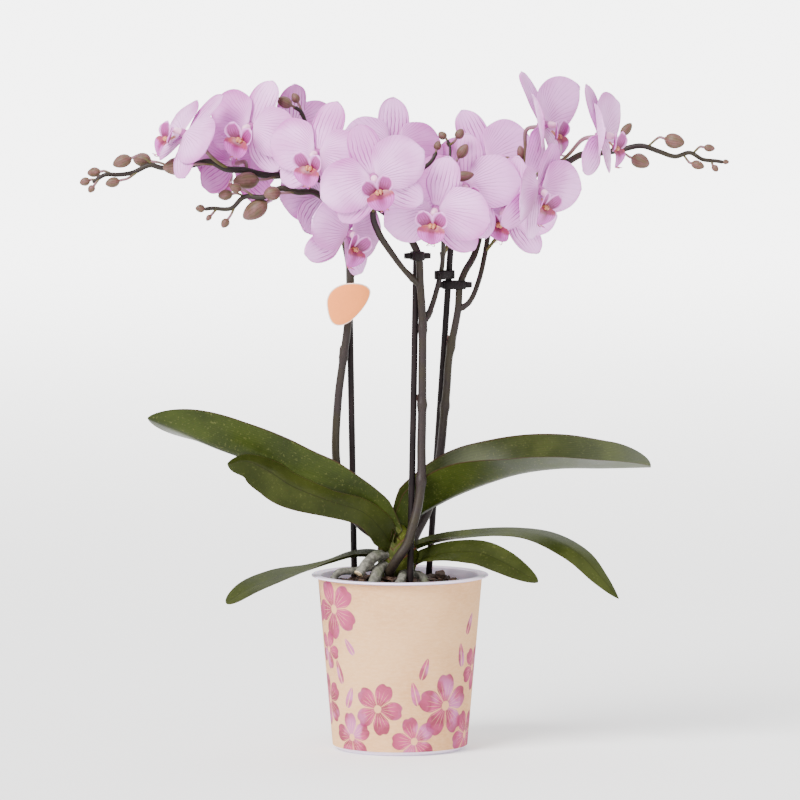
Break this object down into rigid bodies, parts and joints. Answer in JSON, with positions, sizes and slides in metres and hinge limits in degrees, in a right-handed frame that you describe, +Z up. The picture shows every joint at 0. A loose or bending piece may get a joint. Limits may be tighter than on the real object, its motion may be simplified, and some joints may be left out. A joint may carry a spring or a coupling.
{
  "type": "potted orchid",
  "caption": "Potted miniature moth orchid with arching sprays of pale pink blooms and buds on staked spikes, strap leaves, bark and a tapered pot in a floral paper sleeve.",
  "frame": {"origin": "middle of the pot's foot, on the plane that the pot stands on", "axes": "+Z up; -Y towards the viewer, out of the plant's front; +X to the viewer's right"},
  "size_m": [0.3392, 0.1157, 0.3558],
  "materials": {
    "pot": "smooth thin white plastic with a faint lilac cast, semi-gloss",
    "sleeve": "matt kraft paper with a pink floral print",
    "soil": "damp dark potting bark, matt",
    "root": "silvery grey-green aerial root skin, matt",
    "crown": "olive green leaf sheaths, satin",
    "leaf": "leathery olive green, semi-gloss with fine pale speckles",
    "spike": "grey-olive stem with greener stalks and mauve-brown buds, satin",
    "stake": "very dark brown plastic-coated rod, satin",
    "clip": "near-black moulded plastic",
    "tag": "matt peach-coloured card, plain",
    "petal": "pale lilac-pink petal with fine pinker veins, soft satin",
    "lip": "magenta lip with an orange-red band and a yellow crest, satin"
  },
  "bodies": {
    "root": {"pot": "pot", "sleeve": "sleeve", "soil": "soil", "crown": "crown", "root_cut": "root", "root_front_left": "root", "root_rim": "root", "root_front": "root", "root_right": "root", "leaf_upper_left": "leaf", "leaf_middle_left": "leaf", "leaf_lower_left": "leaf", "leaf_upper_right": "leaf", "leaf_middle_right": "leaf", "leaf_lower_right": "leaf", "spike_left": "spike", "spike_centre": "spike", "spike_right": "spike", "stake_left": "stake", "stake_centre": "stake", "stake_right": "stake", "clip_centre": "clip", "clip_branch": "clip", "clip_right": "clip", "tag": "tag", "bloom_far_left": "petal", "bloom_far_left_lip": "lip", "bloom_left": "petal", "bloom_left_lip": "lip", "bloom_left_front": "petal", "bloom_left_front_lip": "lip", "bloom_left_back": "petal", "bloom_left_back_lip": "lip", "bloom_centre": "petal", "bloom_centre_lip": "lip", "bloom_top": "petal", "bloom_top_lip": "lip", "bloom_under_left": "petal", "bloom_under_left_lip": "lip", "bloom_centre_right": "petal", "bloom_centre_right_lip": "lip", "bloom_right_back": "petal", "bloom_right_back_lip": "lip", "bloom_right": "petal", "bloom_right_lip": "lip", "bloom_far_right": "petal", "bloom_far_right_lip": "lip", "bloom_right_low": "petal", "bloom_right_low_lip": "lip", "bloom_under_right": "petal", "bloom_under_right_lip": "lip", "bloom_far_left_back": "petal", "bloom_far_left_back_lip": "lip", "bloom_low_back": "petal", "bloom_low_back_lip": "lip", "bloom_right_middle": "petal", "bloom_right_middle_lip": "lip"}
  },
  "joints": []
}
